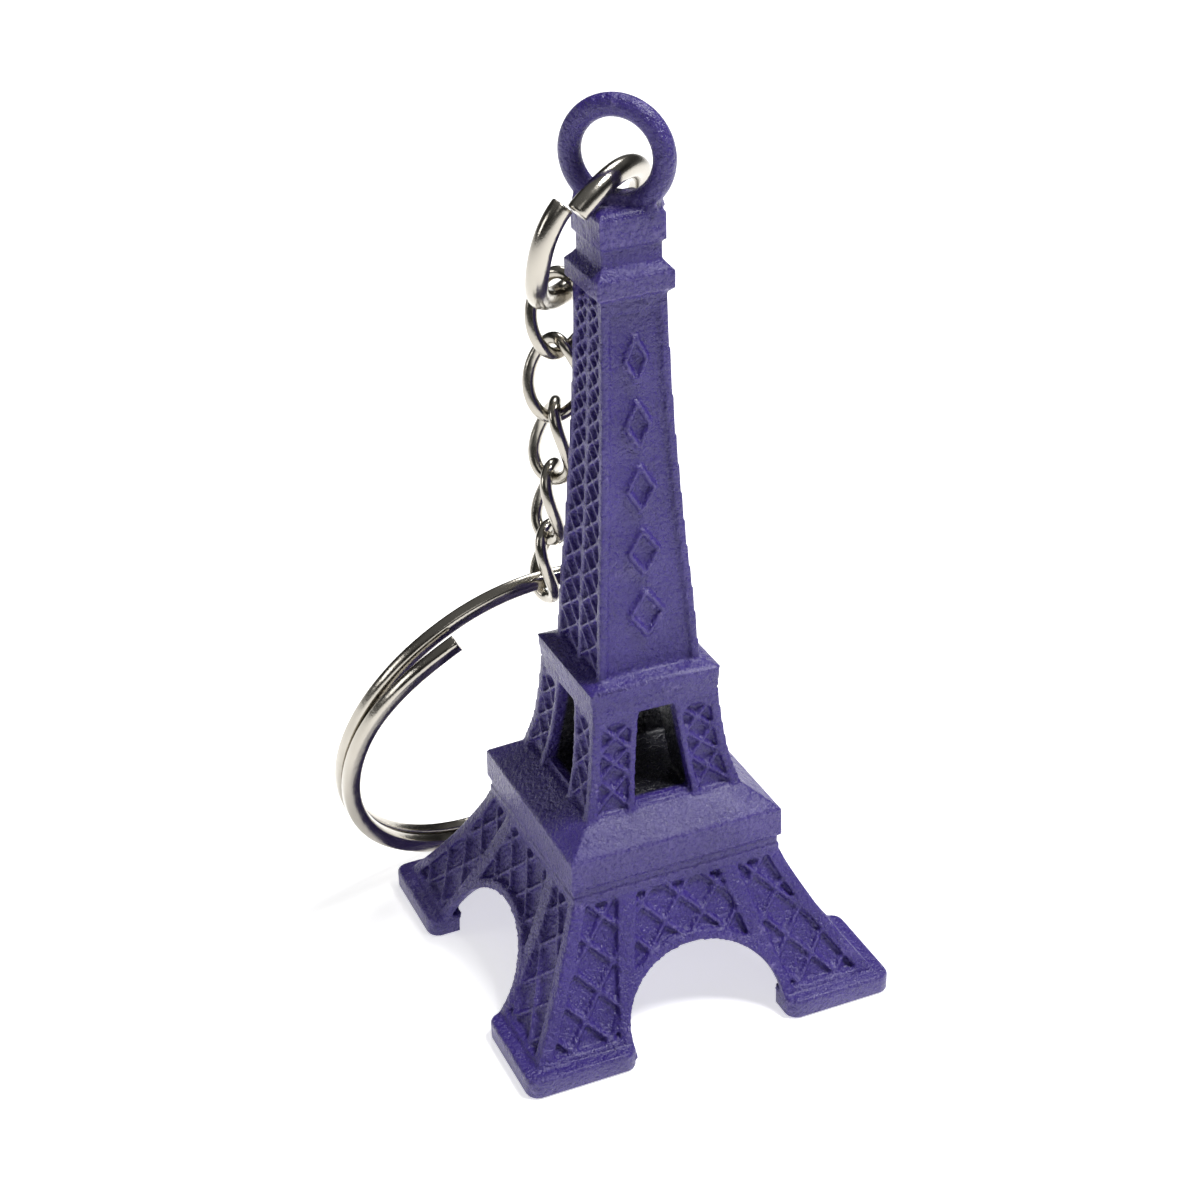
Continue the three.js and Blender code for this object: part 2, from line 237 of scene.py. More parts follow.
def add_diamonds(bm, side, profile, inside, low, high, pitch, width, sunk, raised):
    """Two families of sloping bars, clipped to an area."""
    reach = 2 * FOOT_OUTER
    first = math.floor((low - reach) / pitch)
    last = math.ceil((high + reach) / pitch)
    for i in range(first, last):
        offset = i * pitch + DIAMOND_SHIFT
        for slope, lift in ((1, raised), (-1, CROSSED_LIFT * raised)):
            start = (slope * (low - offset), low)
            end = (slope * (high - offset), high)
            for a, b in clipped(inside, start, end):
                if (b - a).length > 2 * width:
                    add_bar(bm, side, profile, a, b, width, sunk, lift)


def add_crosses(bm, side, profile, left, right, low, high, shape, width, sunk, raised):
    """A column of X braces between two edges. shape is a cell's height over its width."""
    z = low
    while z < high - SMALLEST_CELL:
        top = min(high, z + shape * (right(z) - left(z)))
        add_bar(bm, side, profile, (left(z), z), (right(top), top), width, sunk, raised)
        add_bar(bm, side, profile, (right(z), z), (left(top), top), width, sunk, raised)
        z = top


# ---- The casting ---------------------------------------------------------------------------------


def arch_edge(z):
    """Half the arch's width at height z, 0 above its crown."""
    if z <= ARCH_SPRING:
        return ARCH_HALF
    up = (z - ARCH_SPRING) / (ARCH_TOP - ARCH_SPRING)
    return ARCH_HALF * math.sqrt(max(0.0, 1 - up * up))


def window_edge(z):
    t = (z - WINDOW_LOW) / (WINDOW_HIGH - WINDOW_LOW)
    return WINDOW_HALF_LOW + (WINDOW_HALF_HIGH - WINDOW_HALF_LOW) * t


def strip_outer(z):
    """Outer edge of the raised strip beside the arch."""
    return STRIP_OUTER - STRIP_OUTER_LEAN * (z - FOOT_HIGH) / STRIP_RISE


def strip_inner(z):
    """Inner edge of the raised strip beside the arch."""
    straight = STRIP_INNER - STRIP_INNER_LEAN * (z - FOOT_HIGH) / STRIP_RISE
    return max(straight, arch_edge(z) + ARCH_CLEAR)


def add_casting_core(bm):
    sunk_leg = [(z, h - LEG_RECESS) for z, h in LEG]
    add_stack(bm, [(LEG_CORE_LOW, sunk_leg[0][1])] + sunk_leg[1:] + [LEG_CORE_END])
    add_stack(bm, [STAGE_CORE_START] + [(z, h - STAGE_RECESS) for z, h in STAGE] + [STAGE_CORE_END])
    add_stack(bm, [SHAFT_CORE_START] + [(z, h - SHAFT_RECESS) for z, h in SHAFT] + [SHAFT_CORE_END])


def add_platforms(bm):
    """Friezes, slabs, cornice and top block: plain bands round the tower."""
    for band in (*FRIEZE_1, SLAB_1, *FRIEZE_2, SLAB_2, CORNICE, TOP_BLOCK):
        add_stack(bm, band)


def add_feet(bm):
    side = FOOT_OUTER - FOOT_INNER
    h, r = side / 2, FOOT_CORNER
    middle = FOOT_INNER + h
    outline = []
    for corner, (cx, cy) in enumerate(((1, 1), (-1, 1), (-1, -1), (1, -1))):
        for degrees in steps(90 * corner, 90 * corner + 90, 15):
            a = math.radians(degrees)
            outline.append((cx * (h - r) + r * math.cos(a), cy * (h - r) + r * math.sin(a)))
    sole_high, sole_inset = FOOT_SOLE_EDGE
    top_high, top_inset = FOOT_TOP_EDGE
    levels = ((0, sole_inset), (sole_high, 0), (FOOT_HIGH - top_high, 0), (FOOT_HIGH, top_inset))
    for sx in (-1, 1):
        for sy in (-1, 1):
            rings = []
            for z, inset in levels:
                k = (h - inset) / h
                rings.append([(sx * middle + x * k, sy * middle + y * k, z) for x, y in outline])
            add_loft(bm, rings)


def add_rim(bm, side):
    """The raised rim round an arch, from one sole to the other."""
    rings = []
    for a in steps(-RIM_PAST * math.pi, (1 + RIM_PAST) * math.pi, RIM_STEP):
        ring = []
        for grown in (0, RIM_WIDTH):
            s = (ARCH_HALF + grown) * math.cos(a)
            z = ARCH_SPRING + (ARCH_TOP + grown - ARCH_SPRING) * math.sin(a)
            out = half_at(LEG, z)
            ring.append((on_face(side, s, z, out - EDGE_WALL), on_face(side, s, z, out + RIM_RAISED)))
        (deep, high), (far_deep, far_high) = ring
        rings.append([high, far_high, far_deep, deep])
    add_loft(bm, rings)


def mirrored(inner, outer, sign):
    """The left and right edges of a plate between two half widths, on the right side or the left one."""
    if sign > 0:
        return inner, outer
    return lambda z: -outer(z), lambda z: -inner(z)


def add_leg_relief(bm, side):
    def post(z):
        return half_at(LEG, z) - LEG_POST

    for sign in (-1, 1):
        add_plate(bm, side, LEG, *mirrored(strip_inner, strip_outer, sign), *STRIP_SPAN, *STRIP_DEPTH)
    add_rim(bm, side)
    for sign in (-1, 1):
        add_plate(bm, side, LEG, *mirrored(strip_inner, post, sign), *SILL_SPAN, *SILL_DEPTH)

    def in_leg(s, z):
        return strip_outer(z) - OVERLAP < abs(s) < post(z) + OVERLAP and z < LEG_TOP

    def in_spandrel(s, z):
        return abs(s) < strip_inner(z) + OVERLAP and z > ARCH_TOP + SPANDREL_GAP and z < LEG_TOP

    def in_haunch(s, z):
        return arch_edge(z) + RIM_WIDTH < abs(s) < strip_inner(z) + OVERLAP and z > ARCH_SPRING

    for area in (in_leg, in_spandrel, in_haunch):
        add_diamonds(bm, side, LEG, area, *LEG_SPAN, LEG_PITCH, LEG_BAR, *LEG_DEPTH)


def add_stage_relief(bm, side):
    def near(z):
        return window_edge(z) + WINDOW_CLEAR

    def far(z):
        return window_edge(z) + WINDOW_STRIP

    def post(z):
        return half_at(STAGE, z) - STAGE_POST

    for sign in (-1, 1):
        add_plate(bm, side, STAGE, *mirrored(near, far, sign), *WINDOW_SPAN, *WINDOW_DEPTH)
        edges = mirrored(far, post, sign)
        add_crosses(bm, side, STAGE, *edges, *STAGE_SPAN, STAGE_CELL, STAGE_BAR, *STAGE_DEPTH)
    top = half_at(STAGE, LINTEL_AT) - LINTEL_INSET
    add_plate(bm, side, STAGE, lambda z: -top, lambda z: top, *LINTEL_SPAN, *LINTEL_DEPTH)


def add_shaft_panel(bm, side):
    """The plain front of the shaft: a flat sunk panel with five raised lozenges."""
    add_plate(bm, side, SHAFT, lambda z: -COLLAR_HALF, lambda z: COLLAR_HALF, *COLLAR_SPAN, *COLLAR_DEPTH)

    def edge(z):
        return half_at(SHAFT, z) - SHAFT_POST

    add_plate(bm, side, SHAFT, lambda z: -edge(z), edge, *PANEL_SPAN, *PANEL_DEPTH)
    for i in range(LOZENGES):
        z = LOZENGE_FIRST + LOZENGE_PITCH * i
        wide = LOZENGE_WIDE * edge(z)
        corners = ((0, z - LOZENGE_HALF_HIGH), (wide, z), (0, z + LOZENGE_HALF_HIGH), (-wide, z))
        for a, b in zip(corners, corners[1:] + corners[:1]):
            add_bar(bm, side, SHAFT, a, b, LOZENGE_BAR, *LOZENGE_DEPTH)


def add_shaft_lattice(bm, side):
    """Two columns of braces with a rib between them, as on the other three sides of the shaft."""
    add_plate(bm, side, SHAFT, lambda z: -RIB_HALF, lambda z: RIB_HALF, *RIB_SPAN, *RIB_DEPTH)

    def rib(z):
        return RIB_HALF

    def post(z):
        return half_at(SHAFT, z) - SHAFT_POST

    for sign in (-1, 1):
        edges = mirrored(rib, post, sign)
        add_crosses(bm, side, SHAFT, *edges, *SHAFT_SPAN, SHAFT_CELL, SHAFT_BAR, *SHAFT_DEPTH)


def add_eye(bm):
    """A round band in the plane through the left and right corners, and the neck that it stands on."""
    around, sides = 96, 20
    turn = Matrix.Rotation(math.radians(EYE_TURN), 3, "Z")
    rings = []
    for i in range(around):
        a = 2 * math.pi * i / around
        ring = []
        for j in range(sides):
            b = 2 * math.pi * j / sides
            r = EYE_RADIUS + EYE_BAND * math.cos(b)
            ring.append(turn @ Vector((r * math.cos(a), EYE_BAND * math.sin(b), EYE_Z + r * math.sin(a))))
        rings.append([bm.verts.new(p) for p in ring])
    for i in range(around):
        for j in range(sides):
            low, high = rings[i], rings[(i + 1) % around]
            k = (j + 1) % sides
            bm.faces.new((low[j], high[j], high[k], low[k]))
    neck = []
    for z, wide, thick in NECK:
        corners = ((-wide, -thick), (wide, -thick), (wide, thick), (-wide, thick))
        neck.append([turn @ Vector((x, y, z)) for x, y in corners])
    add_loft(bm, neck)


def to_object(name, bm):
    bmesh.ops.recalc_face_normals(bm, faces=bm.faces)
    mesh = bpy.data.meshes.new(name)
    bm.to_mesh(mesh)
    bm.free()
    made = bpy.data.objects.new(name, mesh)
    bpy.context.scene.collection.objects.link(made)
    return made


def apply_modifiers(piece):
    graph = bpy.context.evaluated_depsgraph_get()
    graph.update()
    mesh = bpy.data.meshes.new_from_object(piece.evaluated_get(graph))
    piece.modifiers.clear()
    piece.data = mesh


def cutter(name, outline, side):
    """An outline of (s, z) points pushed right through the tower."""
    bm = bmesh.new()
    far = 2 * FOOT_OUTER
    add_loft(bm, [[on_face(side, s, z, out) for s, z in outline] for out in (far, -far)])
    return to_object(name, bm)


def cut(piece, tools):
    for tool in tools:
        modifier = piece.modifiers.new("cut", "BOOLEAN")
        modifier.operation = "DIFFERENCE"
        modifier.solver = "EXACT"
        modifier.object = tool
    apply_modifiers(piece)
    for tool in tools:
        bpy.data.objects.remove(tool)


def arch_outline(grown):
    half, rise = ARCH_HALF + grown, ARCH_TOP + grown - ARCH_SPRING
    points = [(half, BELOW)]
    for a in steps(0, math.pi, math.pi / 32):
        points.append((half * math.cos(a), ARCH_SPRING + rise * math.sin(a)))
    return points + [(-half, BELOW)]


def window_outline():
    return [
        (WINDOW_HALF_LOW, WINDOW_LOW),
        (WINDOW_HALF_HIGH, WINDOW_HIGH),
        (-WINDOW_HALF_HIGH, WINDOW_HIGH),
        (-WINDOW_HALF_LOW, WINDOW_LOW),
    ]


def leg_inside(wall):
    """The open inside of the legs, a wall's thickness within their outline."""
    bm = bmesh.new()
    add_stack(bm, [(BELOW, SOLE)] + [(z, half - wall) for z, half in LEG if z < LEG_TOP])
    return to_object("leg_inside", bm)


def arch_edge_cutter(side):
    """Thins the wall round an arch, from the inside."""
    tool = cutter(f"thin_{side}", arch_outline(EDGE_RIM), side)
    modifier = tool.modifiers.new("keep", "BOOLEAN")
    modifier.operation = "INTERSECT"
    modifier.solver = "EXACT"
    within = leg_inside(EDGE_WALL)
    modifier.object = within
    apply_modifiers(tool)
    bpy.data.objects.remove(within)
    return tool


def make_tower():
    bm = bmesh.new()
    add_casting_core(bm)
    core = to_object("tower_core", bm)
    bm = bmesh.new()
    add_feet(bm)
    feet = to_object("tower_feet", bm)
    cut(feet, [leg_inside(WALL)])
    cut(core, [leg_inside(WALL)])
    cut(core, [arch_edge_cutter(side) for side in (0, 1)])
    openings = (("arch", arch_outline(0)), ("window", window_outline()))
    cut(core, [cutter(f"{name}_{side}", outline, side) for name, outline in openings for side in (0, 1)])

    bm = bmesh.new()
    for part in (core, feet):
        bm.from_mesh(part.data)
        bpy.data.objects.remove(part)
    add_platforms(bm)
    add_posts(bm, LEG, *LEG_POST_SPAN, LEG_POST)
    add_posts(bm, STAGE, *STAGE_POST_SPAN, STAGE_POST)
    add_posts(bm, SHAFT, *SHAFT_POST_SPAN, SHAFT_POST)
    for side in range(4):
        add_leg_relief(bm, side)
        add_stage_relief(bm, side)
        if side == 0:
            add_shaft_panel(bm, side)
        else:
            add_shaft_lattice(bm, side)
    add_eye(bm)
    tower = to_object("tower_casting", bm)

    fuse = tower.modifiers.new("fuse", "REMESH")
    fuse.mode = "VOXEL"
    fuse.voxel_size = VOXEL
    soften = tower.modifiers.new("soften", "SMOOTH")
    soften.factor = 0.5
    soften.iterations = 1
    apply_modifiers(tower)
    faces = 2 * len(tower.data.polygons)
    if faces > MAX_TOWER_FACES:
        thin = tower.modifiers.new("thin", "DECIMATE")
        thin.ratio = MAX_TOWER_FACES / faces
        apply_modifiers(tower)
    tower.data.transform(Matrix.Translation(TOWER_AT) @ Matrix.Scale(MM, 4))
    return tower


# ---- Materials -----------------------------------------------------------------------------------

VIOLET, PALER_VIOLET = (0.03, 0.016, 0.155, 1), (0.044, 0.026, 0.2, 1)
# The window colour below is painted shade: near black on the walls inside the stage's windows, standing in
# for the shadow in that hollow.
RUBBED_VIOLET, WINDOW_PAINTED_SHADE = (0.22, 0.18, 0.42, 1), (0.006, 0.006, 0.011, 1)
NICKEL, PALER_NICKEL = (0.38, 0.355, 0.31, 1), (0.5, 0.47, 0.415, 1)
MASK_DEPTH, MASK_FADE = 0.65, 0.25  # the painted shade starts this far inside the stage's outline, and fades in
MASK_START, MASK_FULL = 0.25, 0.05  # and it starts and is full this far outside the window's ends


class Nodes:
    """A short way to write a material's nodes."""

    def __init__(self, name):
        self.material = bpy.data.materials.new(name)
        self.material.use_nodes = True
        self.tree = self.material.node_tree
        self.shader = self.tree.nodes["Principled BSDF"]

    def add(self, kind, inputs=(), **settings):
        node = self.tree.nodes.new(kind)
        for key, value in settings.items():
            setattr(node, key, value)
        for key, value in dict(inputs).items():
            if isinstance(value, bpy.types.NodeSocket):
                self.tree.links.new(value, node.inputs[key])
            else:
                node.inputs[key].default_value = value
        return node

    def set(self, **inputs):
        for key, value in inputs.items():
            socket = self.shader.inputs[key.replace("_", " ")]
            if isinstance(value, bpy.types.NodeSocket):
                self.tree.links.new(value, socket)
            else:
                socket.default_value = value

    def noise(self, scale, detail=3.0, roughness=0.5, at=None):
        inputs = {"Scale": scale, "Detail": detail, "Roughness": roughness, "Vector": at or self.place()}
        return self.add("ShaderNodeTexNoise", inputs).outputs["Fac"]

    def place(self):
        return self.add("ShaderNodeTexCoord").outputs["Object"]

    def ramp(self, value, low, high, to_low=0.0, to_high=1.0):
        inputs = {"Value": value, "From Min": low, "From Max": high, "To Min": to_low, "To Max": to_high}
        return self.add("ShaderNodeMapRange", inputs).outputs["Result"]

    def mix(self, factor, a, b):
        node = self.add("ShaderNodeMix", data_type="RGBA")
        for socket, value in ((node.inputs[0], factor), (node.inputs[6], a), (node.inputs[7], b)):
            if isinstance(value, bpy.types.NodeSocket):
                self.tree.links.new(value, socket)
            else:
                socket.default_value = value
        return node.outputs[2]

    def math(self, operation, a, b):
        return self.add("ShaderNodeMath", {0: a, 1: b}, operation=operation).outputs[0]

    def bump(self, height, distance, strength=1.0, normal=None):
        inputs = {"Height": height, "Distance": distance, "Strength": strength}
        if normal:
            inputs["Normal"] = normal
        return self.add("ShaderNodeBump", inputs).outputs["Normal"]


def window_painted_shade_mask(n):
    """Painted shade: 1 on the walls inside the stage's windows, which are coloured near black for the
    shadow in that hollow, 0 on the outside of the casting.
    """
    shift = n.add("ShaderNodeVectorMath", {0: n.place(), 1: TOWER_AT}, operation="SUBTRACT").outputs[0]
    parts = n.add("ShaderNodeSeparateXYZ", {0: shift}).outputs
    far = n.math("MAXIMUM", n.math("ABSOLUTE", parts[0], 0.0), n.math("ABSOLUTE", parts[1], 0.0))
    (z0, h0), (z1, h1) = STAGE[0], STAGE[-1]
    slope = (h1 - h0) / (z1 - z0)
    wall = n.math("MULTIPLY_ADD", parts[2], slope)
    wall.node.inputs[2].default_value = (h0 - slope * z0 - MASK_DEPTH) * MM
    inside = n.ramp(n.math("SUBTRACT", wall, far), 0.0, MASK_FADE * MM)
    above = n.ramp(parts[2], (WINDOW_LOW - MASK_START) * MM, (WINDOW_LOW - MASK_FULL) * MM)
    below = n.ramp(parts[2], (WINDOW_HIGH + MASK_START) * MM, (WINDOW_HIGH + MASK_FULL) * MM)
    return n.math("MULTIPLY", inside, n.math("MULTIPLY", above, below))


def lacquer():
    """Satin violet lacquer over a rough casting, with rubbed edges and painted shade inside the windows."""
    n = Nodes("violet_lacquer")
    grit = n.noise(4300, 3, 0.6)
    peel = n.noise(1500, 3, 0.5)
    cloud = n.noise(220, 4, 0.6)
    edge = n.ramp(n.add("ShaderNodeNewGeometry").outputs["Pointiness"], 0.52, 0.62)
    body = n.mix(n.ramp(cloud, 0.35, 0.65), VIOLET, PALER_VIOLET)
    rubbed = n.math("MULTIPLY", edge, n.ramp(grit, 0.45, 0.62, 0.0, 0.55))
    # Painted shade: the walls inside the windows are turned near black for the shadow in the hollow.
    shade = window_painted_shade_mask(n)
    colour = n.mix(shade, n.mix(rubbed, body, RUBBED_VIOLET), WINDOW_PAINTED_SHADE)
    rough = n.ramp(grit, 0.35, 0.7, 0.24, 0.42)
    normal = n.bump(grit, 0.00016, 1.0, n.bump(peel, 0.0002, 0.8))
    n.set(Base_Color=colour, Roughness=rough, Normal=normal, Metallic=0.0)
    n.set(Specular_IOR_Level=0.5, Coat_Weight=0.1, Coat_Roughness=0.25)
    return n.material


def nickel():
    """Polished nickel plate with faint drawing marks and duller patches."""
    n = Nodes("nickel_plate")
    cloud = n.noise(600, 3)
    fine = n.noise(9000, 2)
    colour = n.mix(cloud, NICKEL, PALER_NICKEL)
    rough = n.ramp(cloud, 0.3, 0.7, 0.12, 0.24)
    n.set(Base_Color=colour, Roughness=rough, Metallic=1.0)
    n.set(Normal=n.bump(fine, 0.00001, 0.5, n.bump(cloud, 0.0001, 0.35)))
    return n.material


def shade_smooth(piece):
    for polygon in piece.data.polygons:
        polygon.use_smooth = True


# ---- Wire pieces ---------------------------------------------------------------------------------


# A cut end's easing: each ring's size, and how far on it lies as a share of the wire's half width.
CAP = ((0.96, 0.05), (0.86, 0.1))


def smoothstep(x, low, high):
    t = min(1, max(0, (x - low) / (high - low)))
    return t * t * (3 - 2 * t)


def sweep(name, centres, outwards, section, closed):
    """A wire along a list of points. outwards are the section's first axis; open ends get eased caps."""
    bm = bmesh.new()
    count = len(centres)
    tangents = []
    for i in range(count):
        before = centres[(i - 1) % count] if closed else centres[max(0, i - 1)]
        after = centres[(i + 1) % count] if closed else centres[min(count - 1, i + 1)]
        tangents.append((after - before).normalized())

    def ring(i, scale, slide):
        tangent = tangents[i]
        normal = (outwards[i] - tangent * outwards[i].dot(tangent)).normalized()
        binormal = tangent.cross(normal)
        middle = centres[i] + tangent * slide
        return [bm.verts.new(middle + (normal * a + binormal * b) * scale) for a, b in section]

    rings = [ring(i, 1, 0) for i in range(count)]
    if not closed:
        size = max(abs(a) for a, b in section)
        for scale, share in CAP:
            rings.insert(0, ring(0, scale, -share * size))
            rings.append(ring(count - 1, scale, share * size))
    sides = len(section)
    pairs = list(zip(rings, rings[1:])) + ([(rings[-1], rings[0])] if closed else [])
    for low, high in pairs:
        for j in range(sides):
            k = (j + 1) % sides
            bm.faces.new((low[j], low[k], high[k], high[j]))
    if not closed:
        bm.faces.new(list(reversed(rings[0])))
        bm.faces.new(rings[-1])
    piece = to_object(name, bm)
    piece.data.transform(Matrix.Translation(TOWER_AT) @ Matrix.Scale(MM, 4))
    shade_smooth(piece)
    return piece


def round_section(radius, sides):
    angles = [2 * math.pi * i / sides for i in range(sides)]
    return [(radius * math.cos(a), radius * math.sin(a)) for a in angles]


def superellipse(wide, high, sides, power):
    """A flat wire's section: nearly a rectangle, with rounded corners."""
    points = []
    for i in range(sides):
        a = 2 * math.pi * i / sides
        c, s = math.cos(a), math.sin(a)
        x = math.copysign(abs(c) ** (2 / power), c)
        y = math.copysign(abs(s) ** (2 / power), s)
        points.append((wide / 2 * x, high / 2 * y))
    return points


def ring_frame(azimuth, tilt):
    """Columns: to the ring's left, up its plane, along its axis."""
    a, t = math.radians(azimuth), math.radians(tilt)
    axis = Vector((math.cos(t) * math.cos(a), math.cos(t) * math.sin(a), math.sin(t)))
    left = Vector((0, 0, 1)).cross(axis).normalized()
    up = axis.cross(left)
    return Matrix((left, up, axis)).transposed()


WIRE_SIDES, CHAIN_SIDES, FLAT_SIDES, FLAT_POWER = 24, 20, 24, 3.4
JUMP_CENTRE = Vector((-0.8, 1.8, 42.95))
JUMP_FRAME = ring_frame(124, 27.3)
JUMP_RADIUS, JUMP_WIRE, JUMP_CUT, JUMP_GAP, JUMP_HOOK = 4.05, 0.6, 39.5, 1.5, -90
JUMP_FRONT_LANE, JUMP_BACK_LANE, JUMP_SPREAD_ARC = -0.15, 0.65, 70

SPLIT_AT = (-3.15, 9.0)
SPLIT_TILT = 21
SPLIT_FRAME = ring_frame(98, SPLIT_TILT)
SPLIT_OUTER, SPLIT_RADIAL, SPLIT_AXIAL, SPLIT_LANE = 11.75, 1.04, 0.8, 0.44
SPLIT_START, SPLIT_TURN, SPLIT_FRONT_ARC, SPLIT_CROSS_ARC, SPLIT_FLOOR_GAP = 58, 600, 252, 105, 0.02
SPLIT_LIFT, SPLIT_LIFT_ARC = 0.4, 45

LINK_WIRE, LINK_HALF, LINK_TWIST, GAP = 0.34, 1.5, 70, 0.12
LINK_TURNS = (124, 106, 62, 44, 38)


def make_jump_ring():
    sweep_angle = 360 - 2 * JUMP_GAP
    centres, outwards = [], []
    count = 160
    for i in range(count + 1):
        way = sweep_angle * i / count
        a = math.radians(JUMP_CUT + JUMP_GAP + way)
        from_start = 1 - smoothstep(way, 0, JUMP_SPREAD_ARC)
        from_end = 1 - smoothstep(sweep_angle - way, 0, JUMP_SPREAD_ARC)
        lane = JUMP_BACK_LANE * from_end + JUMP_FRONT_LANE * from_start
        out = Vector((math.cos(a), math.sin(a), 0))
        centres.append(JUMP_CENTRE + JUMP_FRAME @ (out * JUMP_RADIUS + Vector((0, 0, lane))))
        outwards.append(JUMP_FRAME @ out)
    return sweep("jump_ring_wire", centres, outwards, round_section(JUMP_WIRE, WIRE_SIDES), False)


def split_lane(travelled):
    crossed = smoothstep(travelled, SPLIT_FRONT_ARC, SPLIT_FRONT_ARC + SPLIT_CROSS_ARC)
    sprung = 1 - smoothstep(travelled, 0, SPLIT_LIFT_ARC)
    return SPLIT_LANE * (2 * crossed - 1) - SPLIT_LIFT * sprung


def split_centre():
    tilt = math.radians(SPLIT_TILT)
    stack = SPLIT_LANE + SPLIT_AXIAL / 2
    high = SPLIT_OUTER * math.cos(tilt) + stack * math.sin(tilt) + SPLIT_FLOOR_GAP
    return Vector((*SPLIT_AT, high))


def make_split_ring():
    radius = SPLIT_OUTER - SPLIT_RADIAL / 2
    centres, outwards = [], []
    count = 420
    for i in range(count + 1):
        way = SPLIT_TURN * i / count
        a = math.radians(SPLIT_START - way)
        out = Vector((math.cos(a), math.sin(a), 0))
        centres.append(split_centre() + SPLIT_FRAME @ (out * radius + Vector((0, 0, split_lane(way)))))
        outwards.append(SPLIT_FRAME @ out)
    section = superellipse(SPLIT_RADIAL, SPLIT_AXIAL, FLAT_SIDES, FLAT_POWER)
    return sweep("split_ring_wire", centres, outwards, section, False)


def make_chain():
    hook = math.radians(JUMP_HOOK)
    top = JUMP_CENTRE + JUMP_FRAME @ (Vector((math.cos(hook), math.sin(hook), 0)) * JUMP_RADIUS)
    lane = split_lane(SPLIT_START + 270)
    end = split_centre() + SPLIT_FRAME @ Vector((0, SPLIT_OUTER - SPLIT_RADIAL / 2, lane))
    span = (end - top).length
    down = (end - top).normalized()
    wire_step = 2 * LINK_WIRE + GAP
    top_step = JUMP_WIRE + LINK_WIRE + 2 * GAP
    end_step = SPLIT_RADIAL / 2 + LINK_WIRE + 2 * GAP
    count = len(LINK_TURNS)
    half_long = (span + top_step + (count - 1) * wire_step + end_step) / (2 * count)
    upward = -down
    across = Vector((0, 1, 0)).cross(upward).normalized()
    basis = Matrix((across, upward.cross(across), upward)).transposed()
    made = []
    hang = top
    step = top_step
    for number, turn in enumerate(LINK_TURNS, 1):
        start = hang - down * step
        made.append(make_link(f"chain_link_{number}_wire", start, basis, turn, half_long))
        hang = start + down * (2 * half_long)
        step = wire_step
    return made


def make_link(name, top, basis, turn, half_long):
    frame_here = basis @ Matrix.Rotation(math.radians(turn), 3, "Z")
    centres, outwards = [], []
    count = 96
    for i in range(count):
        a = 2 * math.pi * i / count
        twist = math.radians(LINK_TWIST) * 0.5 * (1 - math.sin(a))
        out = LINK_HALF * math.cos(a)
        place = Vector((out * math.cos(twist), out * math.sin(twist), half_long * (math.sin(a) - 1)))
        centres.append(top + frame_here @ place)
        outwards.append(frame_here @ (place - Vector((0, 0, -half_long))))
    return sweep(name, centres, outwards, round_section(LINK_WIRE, CHAIN_SIDES), True)


# ---- Build ---------------------------------------------------------------------------------------


def main():
    metal = nickel()
    tower = make_tower()
    shade_smooth(tower)
    tower.data.materials.append(lacquer())
    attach(tower, "tower")
    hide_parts("tower")

    wires = {"jump_ring": make_jump_ring(), "split_ring": make_split_ring()}
    for number, link in enumerate(make_chain(), 1):
        wires[f"chain_link_{number}"] = link
    for node, wire in wires.items():
        wire.data.materials.append(metal)
        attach(wire, node)
        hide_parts(node)


# The studio, in metres and watts.
FLOOR_HALF, FLOOR_DROP, FLOOR_GLOW, FLOOR_COLOUR = 1.5, 0.00002, 0.62, (0.93, 0.93, 0.93, 1)
WORLD_STRENGTH = 0.15
WORLD_LEVELS = ((0.0, 1.0), (0.08, 0.9), (0.2, 0.25), (0.45, 0.12), (0.7, 0.9), (1.0, 1.2))
AIM = Vector((0, 0, 0.02))
LIGHTS = (
    ("overhead", (0.125, -0.07, 0.33), 0.1, 1.35),
    ("back", (0.12, 0.2, 0.3), 0.12, 0.3),
    ("key", (-0.12, -0.3, 0.28), 0.16, 0.06),
    ("side", (-0.35, 0.1, 0.16), 0.12, 0.15),
)  # name, place, size, power

# The camera that the tower's square levels in the photo give. Its place is in mm from the tower's base.
CAMERA_AZIMUTH, CAMERA_ELEVATION, CAMERA_ROLL = -22.764, 29.361, -1.644
CAMERA_AT, LENS, SENSOR = (-43.12, -99.045, 83.34), 68.807, 36


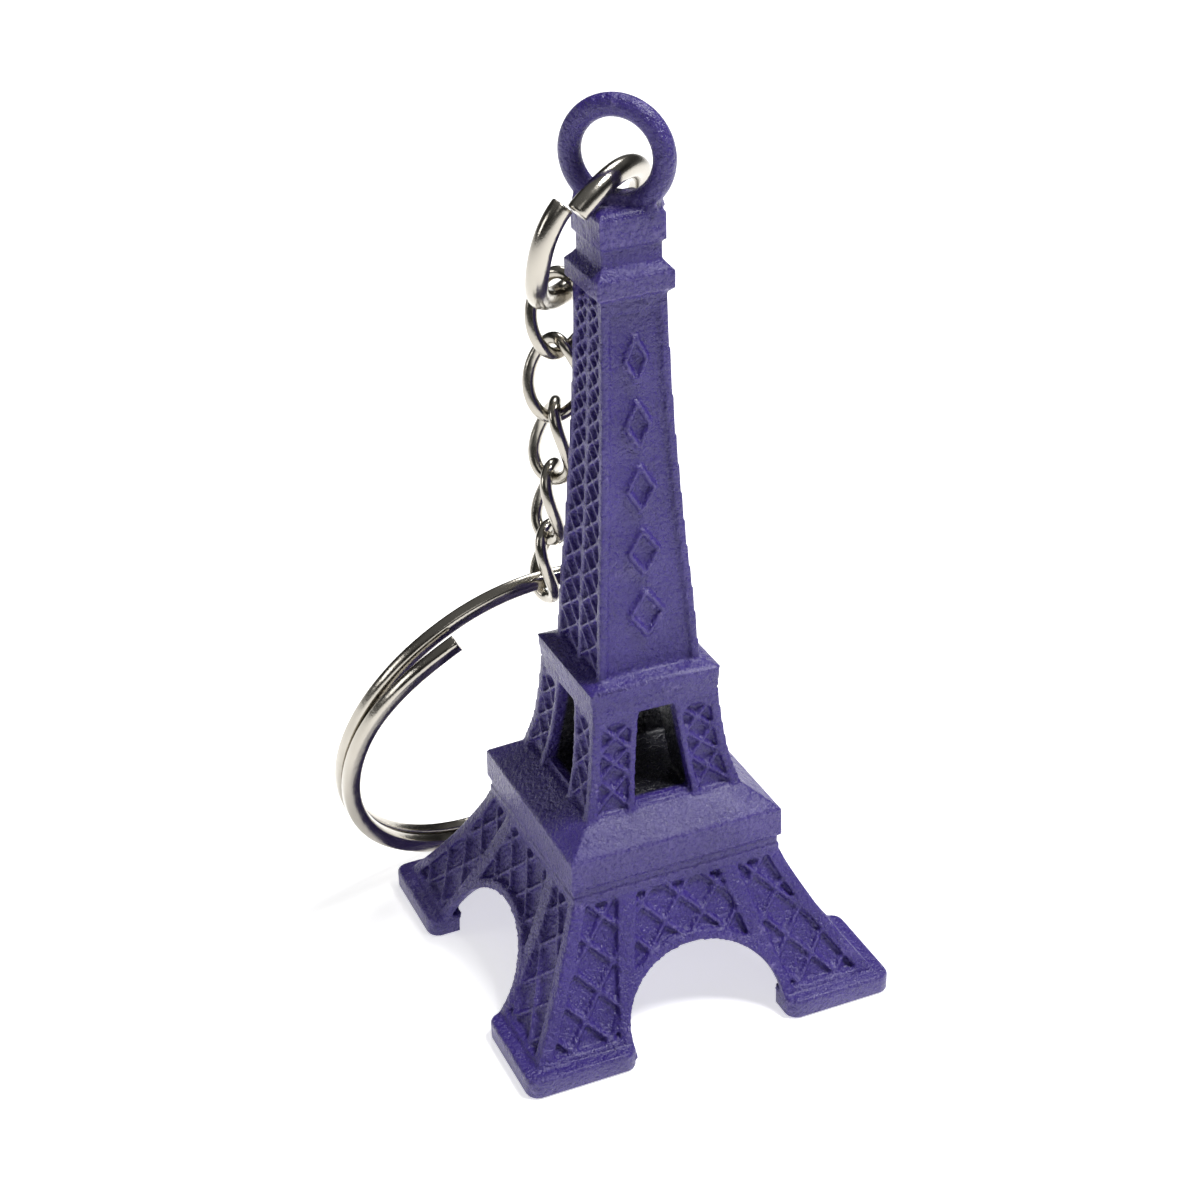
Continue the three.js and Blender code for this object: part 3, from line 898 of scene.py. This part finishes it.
def make_stage():
    bm = bmesh.new()
    bmesh.ops.create_grid(bm, x_segments=2, y_segments=2, size=FLOOR_HALF)
    floor = to_object("floor", bm)
    floor.location.z = cad_low.z - FLOOR_DROP
    n = Nodes("pale_floor")
    n.set(Base_Color=FLOOR_COLOUR, Roughness=0.9, Specular_IOR_Level=0.1)
    n.set(Emission_Color=(1, 1, 1, 1), Emission_Strength=FLOOR_GLOW)
    floor.data.materials.append(n.material)

    world = bpy.data.worlds.new("studio")
    bpy.context.scene.world = world
    world.use_nodes = True
    tree = world.node_tree
    background = tree.nodes["Background"]
    place = tree.nodes.new("ShaderNodeTexCoord")
    split = tree.nodes.new("ShaderNodeSeparateXYZ")
    ramp = tree.nodes.new("ShaderNodeValToRGB")
    tree.links.new(place.outputs["Generated"], split.inputs[0])
    tree.links.new(split.outputs["Z"], ramp.inputs[0])
    tree.links.new(ramp.outputs[0], background.inputs[0])
    elements = ramp.color_ramp.elements
    elements.remove(elements[1])
    for i, (position, level) in enumerate(WORLD_LEVELS):
        stop = elements.new(position) if i else elements[0]
        stop.position = position
        stop.color = (level, level, level, 1)
    background.inputs[1].default_value = WORLD_STRENGTH

    for name, at, size, power in LIGHTS:
        lamp = bpy.data.lights.new(name, "AREA")
        lamp.size = size
        lamp.energy = power
        held = bpy.data.objects.new(name, lamp)
        held.location = at
        held.rotation_mode = "QUATERNION"
        held.rotation_quaternion = (Vector(at) - AIM).to_track_quat("Z", "Y")
        bpy.context.scene.collection.objects.link(held)


def make_camera():
    turns = (CAMERA_AZIMUTH, CAMERA_ELEVATION, CAMERA_ROLL)
    azimuth, elevation, roll = (math.radians(turn) for turn in turns)
    back = Vector((
        math.sin(azimuth) * math.cos(elevation),
        -math.cos(azimuth) * math.cos(elevation),
        math.sin(elevation),
    ))
    level = Vector((0, 0, 1)).cross(back).normalized()
    rise = back.cross(level)
    right = math.cos(roll) * level + math.sin(roll) * rise
    up = -math.sin(roll) * level + math.cos(roll) * rise
    data = bpy.data.cameras.new("camera")
    data.sensor_width = SENSOR
    data.lens = LENS
    data.clip_start, data.clip_end = 0.005, 5
    camera = bpy.data.objects.new("camera", data)
    place = Matrix((right, up, back)).transposed().to_4x4()
    place.translation = TOWER_AT + Vector(CAMERA_AT) * MM
    camera.matrix_world = place
    bpy.context.scene.collection.objects.link(camera)
    bpy.context.scene.camera = camera


main()
make_stage()
make_camera()
bpy.context.scene.view_settings.view_transform = "Standard"
